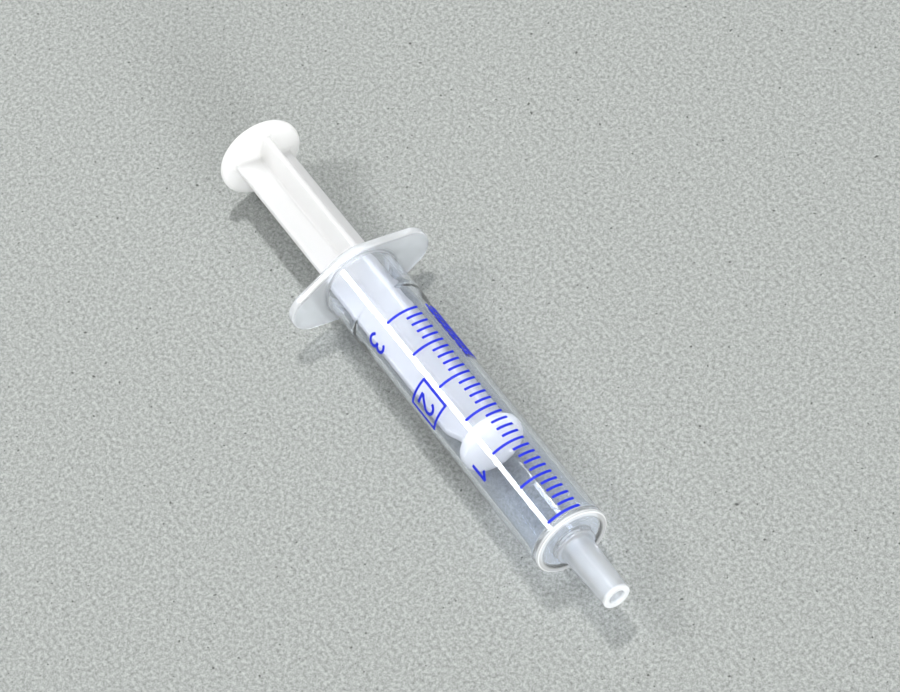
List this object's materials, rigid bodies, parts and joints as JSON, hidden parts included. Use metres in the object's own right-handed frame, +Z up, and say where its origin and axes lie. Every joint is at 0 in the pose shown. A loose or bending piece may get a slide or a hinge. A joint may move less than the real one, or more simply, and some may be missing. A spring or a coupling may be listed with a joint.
{
  "type": "oral syringe",
  "caption": "Disposable syringe with a clear graduated barrel, oval finger flange, central slip tip and a cruciform plunger with a thumb disc.",
  "frame": {"origin": "middle of the syringe's length, below its axis, on the surface that it lies on", "axes": "+X along the syringe's axis towards the tip, +Y along the finger wings, +Z up with the printed scale on top"},
  "size_m": [0.0948, 0.023, 0.0131],
  "materials": {
    "clear_polypropylene": "clear, glossy, thin-walled moulded polypropylene",
    "white_polyethylene": "natural white, translucent, satin-gloss moulded polyethylene",
    "blue_ink": "printed blue ink, slightly glossy"
  },
  "bodies": {
    "barrel": {"barrel": "clear_polypropylene", "scale_mark_0_0": "blue_ink", "scale_mark_0_1": "blue_ink", "scale_mark_0_2": "blue_ink", "scale_mark_0_3": "blue_ink", "scale_mark_0_4": "blue_ink", "scale_mark_0_5": "blue_ink", "scale_mark_0_6": "blue_ink", "scale_mark_0_7": "blue_ink", "scale_mark_0_8": "blue_ink", "scale_mark_0_9": "blue_ink", "scale_mark_1_0": "blue_ink", "scale_mark_1_1": "blue_ink", "scale_mark_1_2": "blue_ink", "scale_mark_1_3": "blue_ink", "scale_mark_1_4": "blue_ink", "scale_mark_1_5": "blue_ink", "scale_mark_1_6": "blue_ink", "scale_mark_1_7": "blue_ink", "scale_mark_1_8": "blue_ink", "scale_mark_1_9": "blue_ink", "scale_mark_2_0": "blue_ink", "scale_mark_2_1": "blue_ink", "scale_mark_2_2": "blue_ink", "scale_mark_2_3": "blue_ink", "scale_mark_2_4": "blue_ink", "scale_mark_2_5": "blue_ink", "scale_mark_2_6": "blue_ink", "scale_mark_2_7": "blue_ink", "scale_mark_2_8": "blue_ink", "scale_mark_2_9": "blue_ink", "scale_mark_3_0": "blue_ink", "numeral_1": "blue_ink", "numeral_2": "blue_ink", "numeral_3": "blue_ink", "numeral_frame": "blue_ink", "panel_line": "blue_ink", "panel_block_1": "blue_ink", "panel_block_2": "blue_ink", "panel_block_3": "blue_ink", "panel_block_4": "blue_ink", "panel_block_5": "blue_ink", "panel_block_6": "blue_ink"},
    "plunger": {"plunger": "white_polyethylene"}
  },
  "joints": [
    {"name": "plunger_slide", "type": "slide", "parent": "barrel", "child": "plunger", "axis": [1, 0, 0], "range_m": [-0.027, 0.0175]}
  ]
}
